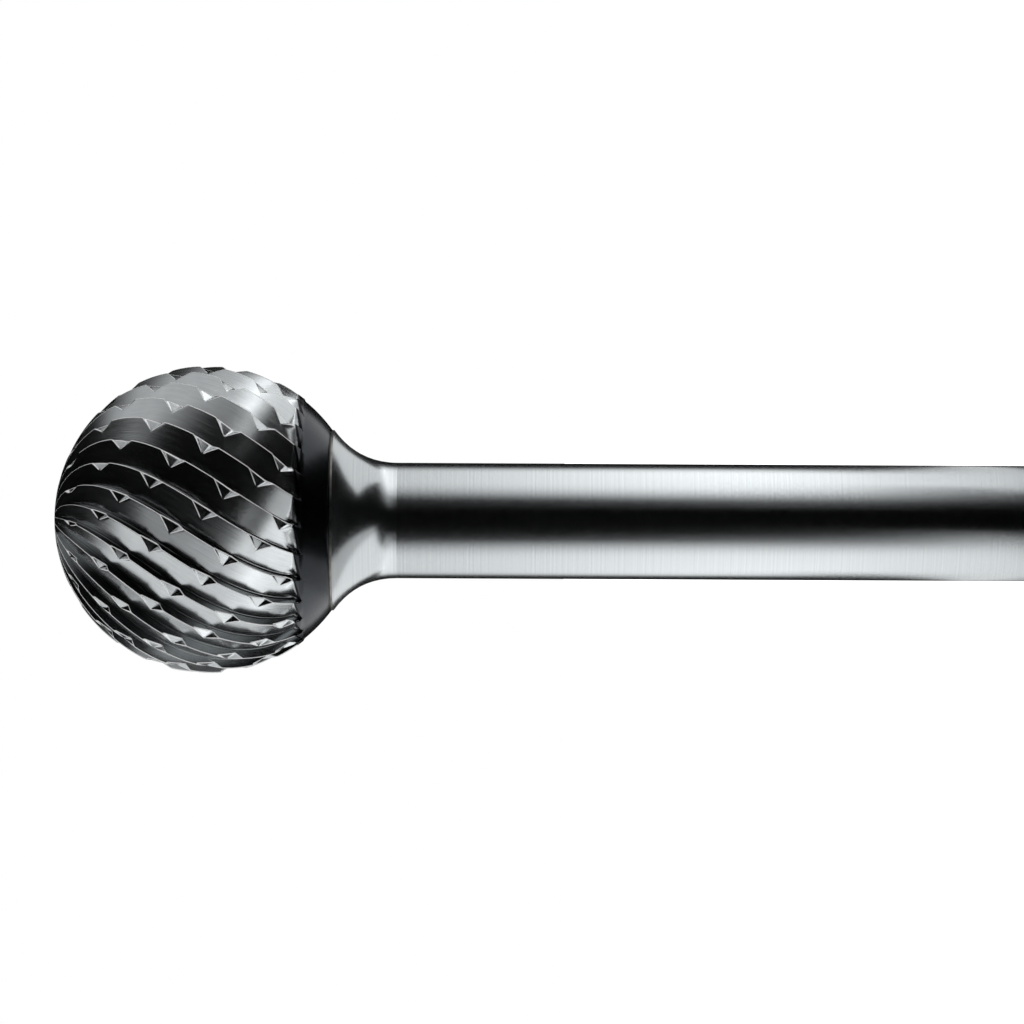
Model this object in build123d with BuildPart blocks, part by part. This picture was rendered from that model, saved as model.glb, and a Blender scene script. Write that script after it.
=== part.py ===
"""Ball burr for a die grinder: a carbide ball with ground teeth, brazed to a steel shank.

Millimetres. The burr stands on its shank end: the origin is the centre of that end face and +Z
runs along the axis to the tip of the ball. Azimuth is in degrees from -Y, counter-clockwise seen
from above the tip. Polar angles are in degrees from the tip, at the centre of the ball.
"""

from build123d import *
from math import acos, atan, cos, degrees, pi, radians, sin, sqrt, tan
import os

# Driving dimensions
overall_length = 54.0
ball_diameter = 16.0
head_length = 14.4
shank_diameter = 6.0
flare_length = 3.3
flare_bend = 0.37
shank_chamfer = 0.5
braze_thickness = 0.1

# Teeth: right-hand flutes of constant lead, with depth and shares of the pitch at the ball's equator
flutes = 28
flute_lead = 81.0
flute_azimuth = 5.5
tooth_depth = 0.6
gullet_share = 0.05
crest_overlap = 0.03
long_flute_start = 7.0
short_flute_start = 14.0
flute_end_height = 4.9
flute_end_skew = 40.0
flute_end_lean = 20.0

# Chip breakers: shallow left-hand grooves that nick each crest they cross
notch_rows = 14
notch_lead = 76.0
notch_azimuth = 1.5
notch_depth = 0.285
notch_ramp_width = 1.24
notch_wall_width = 0.3
notch_start = 33.0
notch_end_height = 4.4

# Plain band behind the teeth, a step below their crests
band_step = 0.07
band_height = 5.0

# Dimensions that follow; the heights above are measured from the ball's centre towards the shank
ball_radius = ball_diameter / 2
shank_radius = shank_diameter / 2
ball_centre = overall_length - ball_radius
joint_height = overall_length - head_length
braze_bottom = joint_height - braze_thickness
flare_bottom = braze_bottom - flare_length
band_radius = ball_radius - band_step
joint_radius = sqrt(band_radius**2 - (ball_centre - joint_height) ** 2)
flute_pitch = 2 * pi / flutes
cutter_rise = 0.3
overcut = 1.06


def ball_point(radius, height):
    """Point of the turned profile on a sphere about the ball's centre, at this height."""
    return (sqrt(radius**2 - (height - ball_centre) ** 2), height)


def helix_slope(polar, lead):
    """Angle in radians between a helix of this lead and the ball's meridian."""
    return atan(2 * pi * ball_radius / lead * sin(radians(polar)) ** 2)


def crossing_plane(polar, azimuth, slope):
    """Plane through the ball's centre, square to a path at this slope to the meridian.

    Its Y axis points outwards through the given spot, its X axis to the side of rising azimuth.
    """
    tilt, turn = radians(polar), radians(azimuth - 90)
    outward = Vector(sin(tilt) * cos(turn), sin(tilt) * sin(turn), cos(tilt))
    backward = Vector(cos(tilt) * cos(turn), cos(tilt) * sin(turn), -sin(tilt))
    along = backward * cos(slope) + outward.cross(backward) * sin(slope)
    return Plane(origin=(0, 0, ball_centre), x_dir=outward.cross(along), z_dir=along)


def arc_point(radius, angle):
    """Point of a crossing plane at this radius and angle from its outward axis."""
    return Vector(radius * sin(angle), radius * cos(angle))


def raised(point):
    """The same direction, but clear outside the ball."""
    return point * ((ball_radius + cutter_rise) / point.length)


def flute_plane(polar, skew=0.0):
    azimuth = flute_azimuth + 360 * ball_radius * cos(radians(polar)) / flute_lead
    return crossing_plane(polar, azimuth, radians(skew) - helix_slope(polar, flute_lead))


def flute_section(polar, skew=0.0):
    """Ratchet-shaped gap: steep rake face of one tooth, then the long land of the next."""
    width = atan(sin(radians(polar)) * tan(flute_pitch) * cos(helix_slope(polar, flute_lead)))
    depth = tooth_depth * width / flute_pitch
    width /= cos(radians(skew))
    gullet = arc_point(ball_radius - depth, gullet_share * width)
    crest = arc_point(ball_radius, (1 + crest_overlap) * width)
    over_crest = gullet + (crest - gullet) * overcut
    return [arc_point(ball_radius + cutter_rise, 0), gullet, over_crest, raised(over_crest)]


def winding_solid(sections):
    """Solid with straight-sided sections whose corners follow smooth curves from end to end."""
    rails = [Edge.make_spline(list(corner)) for corner in zip(*sections)]
    sides = [Face.make_surface_from_curves(a, b) for a, b in zip(rails, rails[1:] + rails[:1])]
    ends = [Face(Wire.make_polygon(section)) for section in (sections[0], sections[-1])]
    with BuildPart() as solid:
        add(Solid(Shell(sides + ends)))
    return solid.part


def placed(plane, corners):
    """Corners of a section set on its plane."""
    return [plane.from_local_coords((corner.X, corner.Y, 0)) for corner in corners]


def flute_cutter(start):
    """Cutter for one flute, from this polar angle back to a leaning wall that runs slantwise."""
    polars = (start, 22, 42, 62, 82, 104)
    sections = [placed(flute_plane(polar), flute_section(polar)) for polar in polars]
    end = degrees(acos(-flute_end_height / ball_radius))
    upright = flute_plane(end, flute_end_skew)
    lean = tan(radians(flute_end_lean))
    corners = flute_section(end, flute_end_skew)
    sections.append([upright.from_local_coords((v.X, v.Y, lean * (v.Y - ball_radius))) for v in corners])
    return winding_solid(sections)


def notch_plane(polar):
    azimuth = notch_azimuth - 360 * ball_radius * cos(radians(polar)) / notch_lead
    return crossing_plane(polar, azimuth, helix_slope(polar, notch_lead))


def notch_section(polar):
    """Shallow groove: short wall on the shank side, long ramp on the tip side."""
    scale = sin(radians(polar)) ** 1.5
    depth = notch_depth * scale
    bottom = arc_point(ball_radius - depth, 0)
    ramp_top = arc_point(ball_radius, notch_ramp_width * scale / ball_radius)
    over_ramp = bottom + (ramp_top - bottom) * overcut
    wall_reach = notch_wall_width * scale * (depth + cutter_rise) / depth
    wall_top = arc_point(ball_radius + cutter_rise, -wall_reach / ball_radius)
    return [wall_top, bottom, over_ramp, raised(over_ramp)]


def notch_cutter():
    """Cutter for one row of chip breakers."""
    end = degrees(acos(-notch_end_height / ball_radius))
    polars = (notch_start, 50, 70, 90, 108, end)
    return winding_solid([placed(notch_plane(polar), notch_section(polar)) for polar in polars])


os.makedirs("parts", exist_ok=True)

# Carbide head: a turned ball with a plain band, then fluted, then notched
long_flute = flute_cutter(long_flute_start)
short_flute = flute_cutter(short_flute_start)
notch_row = notch_cutter()
with BuildPart() as carbide_head:
    with BuildSketch(Plane.XZ):
        with BuildLine():
            band_top = ball_centre - band_height
            band_middle = (band_top + joint_height) / 2
            step_top = ball_point(ball_radius, band_top + band_step)
            step_bottom = ball_point(band_radius, band_top)
            joint_rim = ball_point(band_radius, joint_height)
            ThreePointArc((0, overall_length), (ball_radius, ball_centre), step_top)
            Line(step_top, step_bottom)
            ThreePointArc(step_bottom, ball_point(band_radius, band_middle), joint_rim)
            Polyline(joint_rim, (0, joint_height), (0, overall_length))
        make_face()
    revolve(axis=Axis.Z)
    with PolarLocations(0, flutes // 2):
        add(long_flute, mode=Mode.SUBTRACT)
    with PolarLocations(0, flutes // 2, start_angle=360 / flutes):
        add(short_flute, mode=Mode.SUBTRACT)
    with PolarLocations(0, notch_rows):
        add(notch_row, mode=Mode.SUBTRACT)
carbide_head.part.label = "carbide_head"
export_step(carbide_head.part, "parts/carbide_head.step")

# Braze joint: the thin disc of silver braze between head and shank
with BuildPart() as braze_joint:
    with BuildSketch(Plane.XY.offset(braze_bottom)):
        Circle(joint_radius)
    extrude(amount=braze_thickness)
braze_joint.part.label = "braze_joint"
export_step(braze_joint.part, "parts/braze_joint.step")

# Steel shank: a ground cylinder that flares to the width of the joint
with BuildPart() as steel_shank:
    with BuildSketch(Plane.XZ):
        with BuildLine():
            Polyline((shank_radius, flare_bottom), (shank_radius, 0), (0, 0), (0, braze_bottom))
            Line((0, braze_bottom), (joint_radius, braze_bottom))
            bend = (shank_radius, braze_bottom - flare_bend * flare_length)
            Bezier((joint_radius, braze_bottom), bend, (shank_radius, flare_bottom))
        make_face()
    revolve(axis=Axis.Z)
    chamfer(steel_shank.edges().sort_by(Axis.Z)[0], shank_chamfer)
steel_shank.part.label = "steel_shank"
export_step(steel_shank.part, "parts/steel_shank.step")
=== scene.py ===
"""Ball burr on a plain studio table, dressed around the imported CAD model."""

from math import cos, pi, radians, sin, tan

import bpy
import numpy as np
from mathutils import Matrix, Vector


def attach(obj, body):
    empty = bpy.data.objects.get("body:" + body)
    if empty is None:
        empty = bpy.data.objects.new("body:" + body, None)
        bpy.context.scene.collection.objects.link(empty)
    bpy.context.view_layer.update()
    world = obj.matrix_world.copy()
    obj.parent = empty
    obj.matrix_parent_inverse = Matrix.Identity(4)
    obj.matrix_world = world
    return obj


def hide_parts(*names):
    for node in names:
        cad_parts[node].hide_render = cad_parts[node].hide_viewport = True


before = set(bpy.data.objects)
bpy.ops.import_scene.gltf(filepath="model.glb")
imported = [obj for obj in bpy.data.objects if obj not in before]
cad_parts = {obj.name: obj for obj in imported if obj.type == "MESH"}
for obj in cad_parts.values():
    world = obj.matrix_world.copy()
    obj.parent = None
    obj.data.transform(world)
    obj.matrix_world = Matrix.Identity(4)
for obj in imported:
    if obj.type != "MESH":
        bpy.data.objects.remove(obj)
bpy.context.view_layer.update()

# Camera: a long lens square to the burr's side. It is rolled so that the ball lies to the left,
# as in the photograph, where the axis slopes a little. Its lens, sensor, picture width and aim are in
# millimetres.
MM = 0.001
scene = bpy.context.scene
scene.view_settings.view_transform = "Standard"
lens, sensor, picture_width, axis_slope = 200.0, 36.0, 53.19, radians(0.29)
aim = Vector((0.47, 0, 30.26)) * MM
camera_data = bpy.data.cameras.new("camera")
camera_data.lens, camera_data.sensor_width = lens, sensor
camera_data.clip_start, camera_data.clip_end = 0.01, 20
camera = bpy.data.objects.new("camera", camera_data)
scene.collection.objects.link(camera)
right = Vector((sin(axis_slope), 0, -cos(axis_slope)))
up = Vector((cos(axis_slope), 0, sin(axis_slope)))
back = right.cross(up)
camera.matrix_world = Matrix((right, up, back)).transposed().to_4x4()
camera.location = aim + back * (picture_width * MM * lens / sensor)
scene.camera = camera


def linear(hex_colour):
    """sRGB hex colour as the linear RGBA that shaders take."""
    parts = [int(hex_colour[i:i + 2], 16) / 255 for i in (1, 3, 5)]
    return [c / 12.92 if c <= 0.04045 else ((c + 0.055) / 1.055) ** 2.4 for c in parts] + [1]


def node(tree, kind, settings=None, **inputs):
    """Adds a node. Settings are its properties; inputs are values or the sockets to link."""
    made = tree.nodes.new(kind)
    for name, value in (settings or {}).items():
        setattr(made, name, value)
    for name, value in inputs.items():
        key = int(name[1:]) if name[1:].isdigit() else name.replace("_", " ")
        socket = made.inputs[key]
        if isinstance(value, bpy.types.NodeSocket):
            tree.links.new(value, socket)
        else:
            socket.default_value = value
    return made


def new_material(name):
    """An empty material with its output node."""
    material = bpy.data.materials.new(name)
    material.use_nodes = True
    material.node_tree.nodes.clear()
    return material, material.node_tree, material.node_tree.nodes.new("ShaderNodeOutputMaterial")


# World: white paper all round, a little dimmer as a lamp than it looks.
world = bpy.data.worlds.new("white_surround")
scene.world = world
world.use_nodes = True
tree = world.node_tree
tree.nodes.clear()
path = node(tree, "ShaderNodeLightPath")
shown = node(tree, "ShaderNodeMath", {"operation": "MAXIMUM"}, _0=path.outputs["Is Camera Ray"],
             _1=path.outputs["Is Glossy Ray"])
strength = node(tree, "ShaderNodeMapRange", None, Value=shown.outputs[0], To_Min=0.9, To_Max=1.0)
surround = node(tree, "ShaderNodeBackground", None, Color=(1, 1, 1, 1), Strength=strength.outputs[0])
tree.links.new(surround.outputs[0], tree.nodes.new("ShaderNodeOutputWorld").inputs[0])


def card(name, centre, across, along, camera_sees=False):
    """A flat studio card, its material's tree and its output, from a centre and two half sides.

    Only reflections see it, unless the camera, and with it the diffuse light and the shadows, may too.
    """
    centre, across, along = Vector(centre), Vector(across), Vector(along)
    corners = [centre + a * across + b * along for a, b in ((-1, -1), (1, -1), (1, 1), (-1, 1))]
    mesh = bpy.data.meshes.new(name)
    mesh.from_pydata([corner * MM for corner in corners], [], [(0, 1, 2, 3)])
    made = bpy.data.objects.new(name, mesh)
    scene.collection.objects.link(made)
    material, tree, output = new_material(name)
    mesh.materials.append(material)
    made.visible_camera = camera_sees
    made.visible_diffuse = made.visible_shadow = camera_sees
    return made, tree, output


# Floor: a pale table. Seen directly it is lifted to white, less so near the burr's foot, where it
# keeps the burr's shadow.
_, tree, output = card("floor", (0, 0, 0), (3000, 0, 0), (0, 3000, 0), camera_sees=True)
path = node(tree, "ShaderNodeLightPath")
paper = node(tree, "ShaderNodeBsdfDiffuse", None, Color=linear("#F0F0F0"))
place = node(tree, "ShaderNodeTexCoord")
reach = node(tree, "ShaderNodeVectorMath", {"operation": "LENGTH"}, _0=place.outputs["Object"])
shadow_reach, white_reach = 20 * MM, 40 * MM
whiter = node(tree, "ShaderNodeMapRange", {"interpolation_type": "SMOOTHSTEP"}, Value=reach.outputs["Value"],
              From_Min=shadow_reach, From_Max=white_reach, To_Min=0.4, To_Max=1.0)
shown = node(tree, "ShaderNodeMath", {"operation": "MULTIPLY"}, _0=path.outputs["Is Camera Ray"],
             _1=whiter.outputs[0])
lift = node(tree, "ShaderNodeEmission", None, Color=(1, 1, 1, 1), Strength=shown.outputs[0])
both = node(tree, "ShaderNodeAddShader", None, _0=paper.outputs[0], _1=lift.outputs[0])
tree.links.new(both.outputs[0], output.inputs[0])

# Black cards, which only reflections see: they give the steel its dark middle and dark edges. Those on
# the table lie just clear of it.
clear = 0.05
for name, centre, across, along in (
        ("black_card_camera_side", (0, -260, 60), (310, 0, 0), (0, 0, 400)),
        ("black_card_far_side", (0, 340, 60), (300, 0, 0), (0, 0, 400)),
        ("black_card_tip_side", (0, 0, 430), (400, 0, 0), (0, 400, 0)),
        ("black_card_on_table", (6, -86, clear), (22, 0, 0), (0, 176, 0)),
        ("black_card_front_above", (74, -141, clear), (46, 0, 0), (0, 121, 0)),
        ("black_card_front_below", (-63, -169, clear), (47, 0, 0), (0, 93, 0)),
        ("black_card_back_table", (0, 215, clear), (273, 0, 0), (0, 125, 0))):
    _, tree, output = card(name, centre, across, along)
    black = node(tree, "ShaderNodeBsdfDiffuse", None, Color=linear("#050505"))
    tree.links.new(black.outputs[0], output.inputs[0])

# White cards on the table, which only reflections see, one each side of the shank.
for name, centre, across, along, strength in (
        ("white_card_below", (-150, 7, clear), (119, 0, 0), (0, 83, 0), 1.1),
        ("white_card_above", (150, 35, clear), (122, 0, 0), (0, 55, 0), 0.9)):
    _, tree, output = card(name, centre, across, along)
    glow = node(tree, "ShaderNodeEmission", None, Color=(1, 1, 1, 1), Strength=strength)
    tree.links.new(glow.outputs[0], output.inputs[0])

# Lamps: two long softboxes, one each side of the burr's axis. Each fades towards the camera, towards
# the far side and towards the tip, which gives the soft gradients on the shank. The values are the
# places, from near to far, where a softbox starts, is full, fades and is gone, how much wider it is
# near the table, and its strength near the table and near the tip.
shift_top, fade_low, fade_high = 50 * MM, -40 * MM, 60 * MM
for name, side, near, full, fade, gone, wider, at_table, at_tip in (
        ("softbox_below", -200, -255, 0, 120, 280, 80, 2.3, 0.78),
        ("softbox_above", 200, -215, 0, 80, 230, 60, 3.3, 0.55)):
    made, tree, output = card(name, (side, 40, 215), (0, 290, 0), (0, 0, 214))
    made.visible_diffuse = True
    place = node(tree, "ShaderNodeTexCoord")
    parts = node(tree, "ShaderNodeSeparateXYZ", None, Vector=place.outputs["Object"])
    shift = node(tree, "ShaderNodeMapRange", None, Value=parts.outputs["Z"], From_Min=0.0,
                 From_Max=shift_top, To_Min=wider * MM, To_Max=0.0)
    nearer = node(tree, "ShaderNodeMath", {"operation": "ADD"}, _0=parts.outputs["Y"], _1=shift.outputs[0])
    rise = node(tree, "ShaderNodeMapRange", {"interpolation_type": "SMOOTHSTEP"}, Value=nearer.outputs[0],
                From_Min=near * MM, From_Max=full * MM)
    fall = node(tree, "ShaderNodeMapRange", {"interpolation_type": "SMOOTHSTEP"}, Value=parts.outputs["Y"],
                From_Min=fade * MM, From_Max=gone * MM, To_Min=1.0, To_Max=0.0)
    along = node(tree, "ShaderNodeMapRange", {"interpolation_type": "SMOOTHSTEP"}, Value=parts.outputs["Z"],
                 From_Min=fade_low, From_Max=fade_high, To_Min=at_table, To_Max=at_tip)
    shape = node(tree, "ShaderNodeMath", {"operation": "MULTIPLY"}, _0=rise.outputs[0], _1=fall.outputs[0])
    strength = node(tree, "ShaderNodeMath", {"operation": "MULTIPLY"}, _0=shape.outputs[0],
                    _1=along.outputs[0])
    glow = node(tree, "ShaderNodeEmission", None, Color=(1, 1, 1, 1), Strength=strength.outputs[0])
    tree.links.new(glow.outputs[0], output.inputs[0])

# Carbide head: one ball of sintered tungsten carbide. Its spiral teeth and the chip breakers that
# nick them were ground in with diamond wheels, and a plain turned band is left behind them.
# Sizes are in millimetres and degrees, and heights run from the ball's centre towards the shank.
ball_radius, ball_centre, joint_height = 8.0, 46.0, 39.6
step_top, step_bottom, band_radius = 4.93, 5.0, 7.93

# Teeth come in pairs, as every other one starts farther from the tip. Each value in brackets is given
# for the first and the second tooth of a pair, which the script calls parity 0 and 1.
pairs, pitch, teeth_azimuth, teeth_lead = 14, 360 / 28, 5.5, 81.0
tooth_depth, gullet_share, crest_overlap = 0.6, 0.05, 0.03
flute_start, flute_fade = (7.0, 14.0), 0.8
crest_end, gullet_end, end_lean, strip_end = 4.62, 4.88, tan(radians(20)), 4.9

# Chip breakers: left-hand rows, each nick with a long ramp, a short wall and a small ledge at its head.
notch_lead, notch_depth, notch_ramp, notch_wall = 76.0, 0.285, 1.24, 0.3
notch_azimuth, first_notch, last_notch, notch_ledge = (-0.1, 2.6), (-4, -5), 4, 0.075
teeth_turn, notch_turn = 360 * ball_radius / teeth_lead, 360 * ball_radius / notch_lead

# Rows and columns of the mesh. Columns are shares: of the land down to where a chip breaker runs out,
# of the rest of the land, and of the rake face from its foot up. Gaps are in radians or millimetres.
land_shares = np.array((0, 0.08, 0.3, 0.53, 0.76, 1.0))
gullet_shares = np.array((0.1, 0.35, 0.65, 0.9, 1.0))
rake_shares = np.array((1.0, 0.88, 0.6, 0.33, 0.13))
edge_round, zone_rows, lead_rows, band_rows, tail_rows = 0.05, 12, 14, 10, 5
ramp_rim, wall_rim, ledge_rows = 1, 10, (2, 7)
tip_cap, row_gap, station_gap, sliver, least_depth = radians(3.0), 0.002, 0.03, 0.004, 1e-6


def slope_cosine(polar, lead):
    """Cosine of a helix's angle to the meridian at this polar angle."""
    return 1 / np.sqrt(1 + (2 * pi * ball_radius / lead * np.sin(polar) ** 2) ** 2)


def flute_depth(polar, parity):
    """Depth of a flute's gullet, which rises out of the ball near the tip, and the flute's width."""
    width = np.arctan(np.sin(polar) * tan(radians(pitch)) * slope_cosine(polar, teeth_lead))
    started = (np.degrees(polar) - flute_start[parity] + flute_fade) / (2 * flute_fade)
    return tooth_depth * width / radians(pitch) * np.clip(started, 0, 1), width


def land_depth(polar, share, parity):
    """Depth of a tooth's land at this share of the pitch below its crest: a straight chord."""
    depth, width = flute_depth(polar, 1 - parity)
    low, high = ball_radius - depth, ball_radius
    a, b, at = gullet_share * width, (1 + crest_overlap) * width, (1 - share) * width
    return ball_radius - low * high * np.sin(b - a) / (low * np.sin(at - a) + high * np.sin(b - at))


def notch_size(polar):
    """Size of a chip breaker beside one at the equator. They get smaller towards the tip."""
    return np.sin(polar) ** 1.5


def groove_depth(polar, share, parity):
    """Depth of the deepest chip breaker at this spot of a tooth, negative where there is none."""
    size, deepest, least_size = notch_size(polar), -1.0, 1e-3
    for m in range(first_notch[parity], last_notch, 2):
        turn = teeth_azimuth - notch_azimuth[parity] + pitch * (m - share)
        turn = turn + (teeth_turn + notch_turn) * np.cos(polar)
        offset = ball_radius * np.sin(polar) * np.radians(turn) * slope_cosine(polar, notch_lead)
        offset = offset / np.maximum(size, least_size)
        fall = np.where(offset > 0, offset / notch_ramp, -offset / notch_wall)
        deepest = np.maximum(deepest, notch_depth * size * (1 - fall))
    return deepest


def apex_share(polar, parity):
    """Share of the pitch below the crest at which a chip breaker runs out on the land, by halving."""
    goal, halvings, nearest, farthest = notch_depth * notch_size(polar), 14, 0.25, 0.8
    low, high = np.zeros(np.shape(polar)), np.full(np.shape(polar), 0.9)
    for _ in range(halvings):
        middle = (low + high) / 2
        deeper = land_depth(polar, middle, parity) > goal
        low, high = np.where(deeper, low, middle), np.where(deeper, middle, high)
    return np.clip(middle, nearest, farthest)


def notch_rows(parity, m):
    """Polar angles of the mesh rows along chip breaker m, at each column of the notched part."""
    rounds, round_share, most_cosine = 40, 0.3, 0.99
    polar = np.full((zone_rows, len(land_shares)), pi / 2)
    for _ in range(rounds):
        share = apex_share(polar, parity) * land_shares
        size = notch_size(polar)
        opened = np.clip(1 - land_depth(polar, share, parity) / (notch_depth * size), 0, 1)
        opened[:, -1] = 0
        ramp, wall = (notch_ramp * size * opened)[0], (notch_wall * size * opened)[0]
        near, low = np.minimum(edge_round, round_share * ramp), np.minimum(edge_round, round_share * wall)
        offset = np.array((ramp + edge_round, ramp, ramp - near, 0.75 * ramp, 0.5 * ramp, 0.25 * ramp, low,
                           0 * low, -low, low - wall, -wall, -wall - edge_round))
        turn = np.degrees(offset / (ball_radius * np.sin(polar) * slope_cosine(polar, notch_lead)))
        start = teeth_azimuth - notch_azimuth[parity] + pitch * (m - share)
        cosine = (turn - start) / (teeth_turn + notch_turn)
        polar = (polar + np.arccos(np.clip(cosine, -most_cosine, most_cosine))) / 2
    return polar


def between(first, last, count):
    """Rows spaced evenly between two rows, without either."""
    steps = np.arange(1, count + 1)[:, None] / (count + 1)
    return first + (last - first) * steps


def polar_at(height, radius=ball_radius):
    """Polar angle of a circle this far behind the ball's centre."""
    return np.arccos(-np.asarray(height, float) / radius)


def flute_end(share):
    """Height of the slanted line at which the flute ends, at this share of the pitch."""
    return crest_end + (gullet_end - crest_end) * share / (1 - gullet_share)


def step_depth(height):
    """Depth of the small step from the ball down to the turned band, at this height."""
    band_depth = ball_radius - band_radius
    return band_depth * np.clip((height - step_top) / (step_bottom - step_top), 0, 1)


def surface_depth(polar, share, parity):
    """Depth of a tooth's land with its chip breakers."""
    return np.maximum(land_depth(polar, share, parity), groove_depth(polar, share, parity))


def tooth_rows(parity):
    """Polar angles of one tooth's rows over its notched columns, from near the tip to the flute's end."""
    end_line = polar_at(flute_end(apex_share(polar_at(crest_end), parity) * land_shares))
    notches = [notch_rows(parity, m) for m in range(first_notch[parity], last_notch, 2)]
    tip = np.full(len(land_shares), tip_cap)
    rows = [between(tip, notches[0][0], lead_rows + zone_rows * (1 - parity))]
    for notch, after in zip(notches, notches[1:] + [None]):
        rows.append(notch)
        if after is not None:
            rows.append(between(notch[-1], after[0], zone_rows))
    if parity == 0:
        rows.append(between(notches[-1][-1], end_line, zone_rows))
    return np.minimum(np.concatenate(rows), end_line - row_gap)


def tooth(parity):
    """One tooth: rows run from the tip to the joint, and columns from its rake face down its land.

    Returns its points, their UV places in degrees, and how far each lies on an edge that gets a painted
    highlight, on the turned band and on the wall that ends the flute, which gets painted shade.
    """
    notched = tooth_rows(parity)
    stations = (tooth_rows(0)[:, -1] + tooth_rows(1)[:, -1]) / 2
    stations = np.minimum(stations, polar_at(gullet_end) - station_gap)[:, None]
    apex = apex_share(notched[:, -1:], parity)
    polar_low = notched[:, -1:] + (stations - notched[:, -1:]) * gullet_shares
    polar = np.concatenate((notched, polar_low), 1)
    share = np.concatenate((apex_share(notched, parity) * land_shares,
                            apex + (1 - gullet_share - apex) * gullet_shares), 1)
    depth = surface_depth(polar, share, parity)
    depth[:, -1], _ = flute_depth(polar[:, -1], 1 - parity)
    # Crests and the rims of the chip breakers are marked for a painted highlight, a near-white colour.
    edge = np.zeros(polar.shape)
    edge[:, 0] = 1
    first, nicked = lead_rows + zone_rows * (1 - parity), len(land_shares) - 1
    for row in range(first, len(polar) - zone_rows // 2, 2 * zone_rows):
        edge[[row + ramp_rim, row + wall_rim], :nicked] = 1
        depth[row + ledge_rows[0]:row + ledge_rows[1], :nicked] += notch_ledge * (1 - land_shares[:-1])

    # The flute ends at a wall that runs slantwise and leans back, below a plain turned strip.
    end_share = share[-1]
    end_height = flute_end(end_share)
    end_polar = polar_at(end_height)
    end_depth = surface_depth(end_polar, end_share, parity)
    wall_top = end_height + end_lean * end_depth + sliver
    strip_width = np.maximum(strip_end, wall_top + 1.5 * sliver) - wall_top
    strip = [wall_top + strip_width * step for step in (0, 0.34, 0.67, 1.0)]
    polar = np.vstack((polar, end_polar, polar_at(strip)))
    depth = np.vstack((depth, end_depth, step_depth(np.array(strip))))
    share = np.vstack((share, np.tile(end_share, (tail_rows, 1))))
    edge = np.vstack((edge, np.zeros((tail_rows, edge.shape[1]))))
    turned = np.zeros(edge.shape)
    turned[1 - tail_rows:] = 1
    # The top of the end wall is marked for painted shade, a darker colour.
    shaded = np.zeros(edge.shape)
    shaded[1 - tail_rows] = 1

    # The rake face drops from the crest to the next gullet, which the flute's end closes.
    foot_heights = gullet_end + np.array((-0.18, -0.12, -0.06, 0, 0.19))
    foot_polar = np.concatenate((stations[:, 0], polar_at(foot_heights)))[:, None]
    crest_polar, crest_depth = polar[:, :1], depth[:, :1]
    rake_polar = crest_polar + (foot_polar - crest_polar) * rake_shares
    foot_depth, _ = flute_depth(rake_polar, parity)
    foot_depth = np.maximum(foot_depth, least_depth)
    foot_depth[-1] = ball_radius - band_radius
    rake_depth = crest_depth + (foot_depth - crest_depth) * rake_shares

    # The foot of the land and the foot of the next rake face are one line, also up the end wall.
    polar[-tail_rows:, -1], depth[-tail_rows:, -1] = rake_polar[-tail_rows:, 0], rake_depth[-tail_rows:, 0]
    turned[-tail_rows:-1, -1] = 0
    shaded[-tail_rows:, -1] = (0, 0, 0, 0, 1)

    rake_share = -gullet_share * np.clip(rake_depth / foot_depth, 0, 1)
    rake_share[-1] = -gullet_share * rake_shares
    share[:-1, 0] = -gullet_share * np.clip(depth[:-1, 0] / foot_depth[:-1, 0], 0, 1)
    polar = np.concatenate((rake_polar, polar), 1)
    depth = np.concatenate((rake_depth, depth), 1)
    share = np.concatenate((rake_share, share), 1)
    edge, turned, shaded = [np.concatenate((0 * rake_share, part), 1) for part in (edge, turned, shaded)]
    turned[-1] = 1
    shaded[-1, :len(rake_shares)] = 1

    # The tip's cap, and behind the teeth the step down to the turned band and the joint face.
    columns = polar.shape[1]
    last = -ball_radius * np.cos(polar[-1])
    step_high, step_low = np.maximum(step_top, last + sliver), np.maximum(step_bottom, last + 2 * sliver)
    band_start, band_end = step_bottom + 0.15, ball_centre - joint_height
    band = np.vstack((step_low, np.linspace(band_start, band_end, band_rows)[:, None] + 0 * last))
    cap, behind = np.zeros((2, columns)), np.ones((band_rows + 2, columns))
    polar = np.vstack((cap, polar, polar_at(step_high), polar_at(band, band_radius)))
    polar[1] = tip_cap
    depth = np.vstack((cap, depth, step_depth(step_high), (ball_radius - band_radius) * behind[1:]))
    share = np.vstack((share[:1], share[:1], share, share[-1] * behind))
    edge = np.vstack((cap, edge, 0 * behind, 0 * cap[:1]))
    turned = np.vstack((cap, turned, behind, behind[:1]))
    shaded = np.vstack((cap, shaded, 0 * behind, 0 * cap[:1]))

    turn = np.radians(teeth_azimuth + pitch * (parity - share) + teeth_turn * np.cos(polar) - 90)
    radius = ball_radius - depth
    points = np.stack((radius * np.sin(polar) * np.cos(turn), radius * np.sin(polar) * np.sin(turn),
                       ball_centre + radius * np.cos(polar)), 2)
    centre = np.zeros((1, columns, 3))
    centre[..., 2] = joint_height
    points = np.concatenate((points, centre))
    way = np.stack((share * pitch, np.degrees(polar)), 2)
    way = np.concatenate((way, way[-1:]))
    return points, way, edge, turned, shaded


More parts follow.
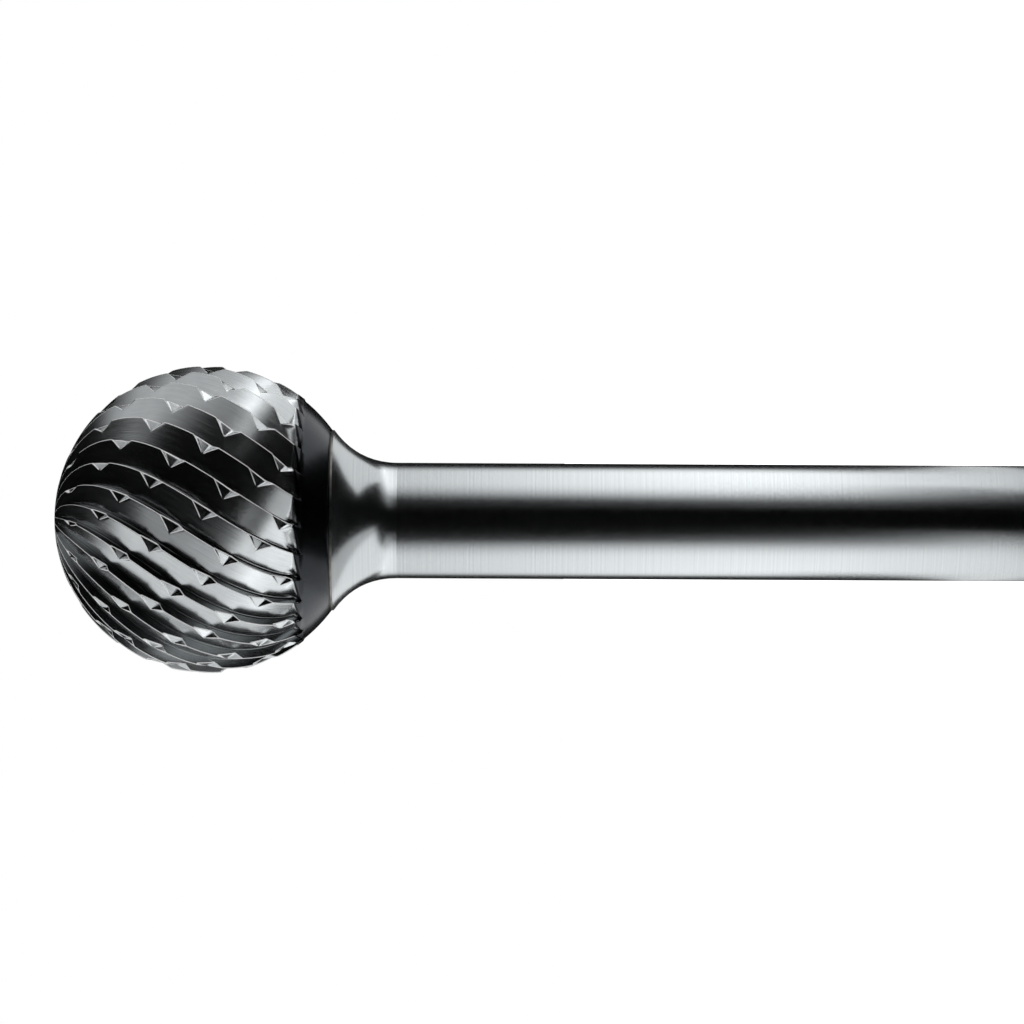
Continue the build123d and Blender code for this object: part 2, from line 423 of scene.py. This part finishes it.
points, ways, edges, bands, shades, faces = [], [], [], [], [], []
for parity in (0, 1):
    grid, way, edge, turned, shaded = tooth(parity)
    rows, columns = grid.shape[:2]
    first = sum(len(done) for done in points)
    index = first + np.arange(rows * columns).reshape(rows, columns)
    corners = (index[:-1, :-1], index[:-1, 1:], index[1:, 1:], index[1:, :-1])
    faces.extend(np.stack(corners, 2).reshape(-1, 4).tolist())
    points.append(grid.reshape(-1, 3))
    ways.append(way.reshape(-1, 2))
    edges.append(edge.ravel())
    bands.append(turned.ravel())
    shades.append(shaded.ravel())
points, ways = np.concatenate(points), np.concatenate(ways)
mesh = bpy.data.meshes.new("tooth_pair")
mesh.from_pydata((points * MM).tolist(), [], faces)
corner_vertices = np.array([loop.vertex_index for loop in mesh.loops])
uv = mesh.uv_layers.new(name="teeth")
uv.data.foreach_set("uv", ways[corner_vertices].astype(np.float32).ravel())
for name, values in (("honed_edge_and_highlight", edges), ("turned_band", bands), ("end_wall_painted_shade", shades)):
    attribute = mesh.attributes.new(name, "FLOAT", "POINT")
    attribute.data.foreach_set("value", np.concatenate(values).astype(np.float32))
tooth_pair = bpy.data.objects.new("tooth_pair", mesh)
scene.collection.objects.link(tooth_pair)

# Ground tungsten carbide: a cool grey metal. Wheel marks run along the lands. The honed crests and the
# rims of the chip breakers are matt, with a painted highlight: a near-white colour with little metal, so
# that each shows as a fine bright line. The rake faces, gullets and end walls have painted shade, a darker
# colour where little light gets into them, and the turned band is darker still, with rings. The real
# marks are a hundredth of a millimetre apart, too fine to show, so they are drawn eight times coarser,
# and so are the band's rings. Mark sizes are in degrees, all others in millimetres.
carbide, tree, output = new_material("ground_tungsten_carbide")
marks = node(tree, "ShaderNodeUVMap", {"uv_map": "teeth"})
place = node(tree, "ShaderNodeTexCoord")
height = node(tree, "ShaderNodeSeparateXYZ", None, Vector=place.outputs["Object"])
mark_spacing, mark_length, patch_size, ring_spacing, mark_height = 0.6, 14.0, 1 / 0.9, 0.16, 0.006
stretched = node(tree, "ShaderNodeVectorMath", {"operation": "MULTIPLY"}, _0=marks.outputs[0],
                 _1=(1 / mark_spacing, 1 / mark_length, 0))
wheel_marks = node(tree, "ShaderNodeTexNoise", None, Vector=stretched.outputs[0], Scale=1.0, Detail=4.0,
                   Roughness=0.6)
patches = node(tree, "ShaderNodeTexNoise", None, Vector=place.outputs["Object"],
               Scale=1 / (patch_size * MM), Detail=3.0)
turned = node(tree, "ShaderNodeAttribute", {"attribute_name": "turned_band"})
band = node(tree, "ShaderNodeMath", {"operation": "GREATER_THAN"}, _0=turned.outputs["Fac"], _1=0.5)
rings = node(tree, "ShaderNodeMath", {"operation": "MULTIPLY"}, _0=height.outputs["Z"],
             _1=1 / (ring_spacing * MM))
ring_marks = node(tree, "ShaderNodeTexNoise", {"noise_dimensions": "1D"}, W=rings.outputs[0], Scale=1.0,
                  Detail=3.0)
relief = node(tree, "ShaderNodeMix", {"data_type": "FLOAT"}, _0=band.outputs[0], _2=wheel_marks.outputs[0],
              _3=ring_marks.outputs[0])
bump = node(tree, "ShaderNodeBump", None, Height=relief.outputs[0], Strength=0.35,
            Distance=mark_height * MM)
rim = node(tree, "ShaderNodeAttribute", {"attribute_name": "honed_edge_and_highlight"})
rim_highlight = node(tree, "ShaderNodeMapRange", {"interpolation_type": "SMOOTHSTEP"}, Value=rim.outputs["Fac"],
                From_Min=0.08, From_Max=0.6)
mark_tone = node(tree, "ShaderNodeMapRange", None, Value=wheel_marks.outputs[0], From_Min=0.3,
                 From_Max=0.7, To_Min=0.84, To_Max=1.0)
patch_tone = node(tree, "ShaderNodeMapRange", None, Value=patches.outputs[0], From_Min=0.3, From_Max=0.7,
                  To_Min=0.9, To_Max=1.0)
mark_axes = node(tree, "ShaderNodeSeparateXYZ", None, Vector=marks.outputs[0])
# Painted shade: the rake faces and gullets get a darker colour, and so, below, does the end wall.
rake = node(tree, "ShaderNodeMapRange", {"interpolation_type": "SMOOTHSTEP"}, Value=mark_axes.outputs["X"],
            From_Min=-0.12, From_Max=-0.02, To_Min=0.35, To_Max=1.0)
gullet = node(tree, "ShaderNodeMapRange", {"interpolation_type": "SMOOTHSTEP"}, Value=mark_axes.outputs["X"],
              From_Min=0.9 * pitch, From_Max=0.95 * pitch, To_Min=1.0, To_Max=0.12)
wall = node(tree, "ShaderNodeAttribute", {"attribute_name": "end_wall_painted_shade"})
wall_shade = node(tree, "ShaderNodeMapRange", None, Value=wall.outputs["Fac"], From_Min=0.1, From_Max=0.6,
                  To_Min=1.0, To_Max=0.2)
tone = node(tree, "ShaderNodeMath", {"operation": "MULTIPLY"}, _0=mark_tone.outputs[0],
            _1=patch_tone.outputs[0])
rake_and_gullet_shade = node(tree, "ShaderNodeMath", {"operation": "MULTIPLY"}, _0=rake.outputs[0],
                 _1=gullet.outputs[0])
teeth_only = node(tree, "ShaderNodeMix", {"data_type": "FLOAT"}, _0=band.outputs[0],
                  _2=rake_and_gullet_shade.outputs[0], _3=1.0)
painted_hollow_shade = node(tree, "ShaderNodeMath", {"operation": "MULTIPLY"}, _0=teeth_only.outputs[0],
            _1=wall_shade.outputs[0])
shade = node(tree, "ShaderNodeMath", {"operation": "MULTIPLY"}, _0=painted_hollow_shade.outputs[0], _1=tone.outputs[0])
ground = node(tree, "ShaderNodeMix", {"data_type": "RGBA"}, _0=band.outputs[0], _6=linear("#E2E7E9"),
              _7=linear("#484B4F"))
ground_shaded = node(tree, "ShaderNodeMix", {"data_type": "RGBA", "blend_type": "MULTIPLY"}, _0=1.0,
                     _6=ground.outputs[2], _7=shade.outputs[0])
# Painted highlight: the crests and the chip breakers' rims get a near-white colour and little metal.
colour = node(tree, "ShaderNodeMix", {"data_type": "RGBA"}, _0=rim_highlight.outputs[0],
              _6=ground_shaded.outputs[2], _7=linear("#F4F5F6"))
scatter = node(tree, "ShaderNodeMapRange", None, Value=rim_highlight.outputs[0], To_Min=1.0, To_Max=0.1)
blunt = node(tree, "ShaderNodeMapRange", None, Value=wheel_marks.outputs[0], From_Min=0.3, From_Max=0.7,
             To_Min=0.19, To_Max=0.27)
roughness = node(tree, "ShaderNodeMix", {"data_type": "FLOAT"}, _0=rim_highlight.outputs[0],
                 _2=blunt.outputs[0], _3=0.5)
metal = node(tree, "ShaderNodeBsdfPrincipled", None, Base_Color=colour.outputs[2],
             Metallic=scatter.outputs[0], Roughness=roughness.outputs[0], Normal=bump.outputs[0])
tree.links.new(metal.outputs[0], output.inputs[0])

# The pair of teeth repeats round the ball, and doubled points on the seams between pairs are merged.
seam = 0.0004 * MM
tree = bpy.data.node_groups.new("teeth_round_ball", "GeometryNodeTree")
tree.interface.new_socket("Geometry", in_out="INPUT", socket_type="NodeSocketGeometry")
count_input = tree.interface.new_socket("Pairs of teeth", in_out="INPUT", socket_type="NodeSocketInt")
material_input = tree.interface.new_socket("Carbide", in_out="INPUT", socket_type="NodeSocketMaterial")
tree.interface.new_socket("Geometry", in_out="OUTPUT", socket_type="NodeSocketGeometry")
given = tree.nodes.new("NodeGroupInput").outputs
spots = node(tree, "GeometryNodeMeshLine", None, Count=given["Pairs of teeth"], Offset=(0, 0, 0))
step = node(tree, "ShaderNodeMath", {"operation": "DIVIDE"}, _0=2 * pi, _1=given["Pairs of teeth"])
index = tree.nodes.new("GeometryNodeInputIndex")
turn = node(tree, "ShaderNodeMath", {"operation": "MULTIPLY"}, _0=index.outputs[0], _1=step.outputs[0])
around = node(tree, "ShaderNodeCombineXYZ", None, Z=turn.outputs[0])
copies = node(tree, "GeometryNodeInstanceOnPoints", None, Points=spots.outputs[0], Instance=given["Geometry"],
              Rotation=around.outputs[0])
real = node(tree, "GeometryNodeRealizeInstances", None, Geometry=copies.outputs[0])
closed = node(tree, "GeometryNodeMergeByDistance", None, Geometry=real.outputs[0], Distance=seam)
smooth = node(tree, "GeometryNodeSetShadeSmooth", None, Geometry=closed.outputs[0], Shade_Smooth=True)
coated = node(tree, "GeometryNodeSetMaterial", None, Geometry=smooth.outputs[0], Material=given["Carbide"])
tree.links.new(coated.outputs[0], tree.nodes.new("NodeGroupOutput").inputs[0])
repeat = tooth_pair.modifiers.new("teeth_round_ball", "NODES")
repeat.node_group = tree
repeat[count_input.identifier] = pairs
repeat[material_input.identifier] = carbide
bpy.context.view_layer.update()
whole = bpy.data.meshes.new_from_object(tooth_pair.evaluated_get(bpy.context.evaluated_depsgraph_get()))
bpy.data.objects.remove(tooth_pair)
toothed_ball = bpy.data.objects.new("toothed_ball", whole)
scene.collection.objects.link(toothed_ball)
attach(toothed_ball, "root")
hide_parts("carbide_head")

# Steel shank: one turned bar with a flare at the joint, then ground all over to a satin finish.
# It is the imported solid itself, and only its material is changed.
# Satin ground steel: fine rings round the axis, a few hundredths of a millimetre apart, drawn at a
# tenth, and tiny pits that speckle the bright bands. Sizes are in millimetres.
ring_spacing, pit_size, ring_height = 0.1, 0.12, 0.002
steel, tree, output = new_material("satin_ground_steel")
place = node(tree, "ShaderNodeTexCoord")
height = node(tree, "ShaderNodeSeparateXYZ", None, Vector=place.outputs["Object"])
rings = node(tree, "ShaderNodeMath", {"operation": "MULTIPLY"}, _0=height.outputs["Z"],
             _1=1 / (ring_spacing * MM))
ring_marks = node(tree, "ShaderNodeTexNoise", {"noise_dimensions": "1D"}, W=rings.outputs[0], Scale=1.0,
                  Detail=4.0, Roughness=0.65)
pits = node(tree, "ShaderNodeTexNoise", None, Vector=place.outputs["Object"], Scale=1 / (pit_size * MM),
            Detail=2.0)
relief = node(tree, "ShaderNodeMix", {"data_type": "FLOAT"}, _0=0.35, _2=ring_marks.outputs[0],
              _3=pits.outputs[0])
bump = node(tree, "ShaderNodeBump", None, Height=relief.outputs[0], Strength=0.08,
            Distance=ring_height * MM)
tone = node(tree, "ShaderNodeMapRange", None, Value=relief.outputs[0], From_Min=0.35, From_Max=0.65,
            To_Min=0.9, To_Max=1.0)
colour = node(tree, "ShaderNodeMix", {"data_type": "RGBA", "blend_type": "MULTIPLY"}, _0=1.0,
              _6=linear("#CCD1D3"), _7=tone.outputs[0])
roughness = node(tree, "ShaderNodeMapRange", None, Value=pits.outputs[0], From_Min=0.3, From_Max=0.7,
                 To_Min=0.18, To_Max=0.24)
metal = node(tree, "ShaderNodeBsdfPrincipled", None, Base_Color=colour.outputs[2], Metallic=1.0,
             Roughness=roughness.outputs[0], Normal=bump.outputs[0])
tree.links.new(metal.outputs[0], output.inputs[0])
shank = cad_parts["steel_shank"]
shank.data.materials.clear()
shank.data.materials.append(steel)

# Braze joint: a thin layer of silver solder that was melted between the head and the shank, then ground
# flush with both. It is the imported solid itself, and only its material is changed.
# Silver braze: a slightly warm pale metal with a soft, uneven sheen where it froze. Size in millimetres.
flow_size = 0.5
silver, tree, output = new_material("silver_braze")
place = node(tree, "ShaderNodeTexCoord")
flow = node(tree, "ShaderNodeTexNoise", None, Vector=place.outputs["Object"], Scale=1 / (flow_size * MM),
            Detail=3.0)
tone = node(tree, "ShaderNodeMapRange", None, Value=flow.outputs[0], From_Min=0.35, From_Max=0.65,
            To_Min=0.6, To_Max=1.0)
colour = node(tree, "ShaderNodeMix", {"data_type": "RGBA", "blend_type": "MULTIPLY"}, _0=1.0,
              _6=linear("#9C9B97"), _7=tone.outputs[0])
roughness = node(tree, "ShaderNodeMapRange", None, Value=flow.outputs[0], From_Min=0.3, From_Max=0.7,
                 To_Min=0.3, To_Max=0.45)
metal = node(tree, "ShaderNodeBsdfPrincipled", None, Base_Color=colour.outputs[2], Metallic=1.0,
             Roughness=roughness.outputs[0])
tree.links.new(metal.outputs[0], output.inputs[0])
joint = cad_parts["braze_joint"]
joint.data.materials.clear()
joint.data.materials.append(silver)
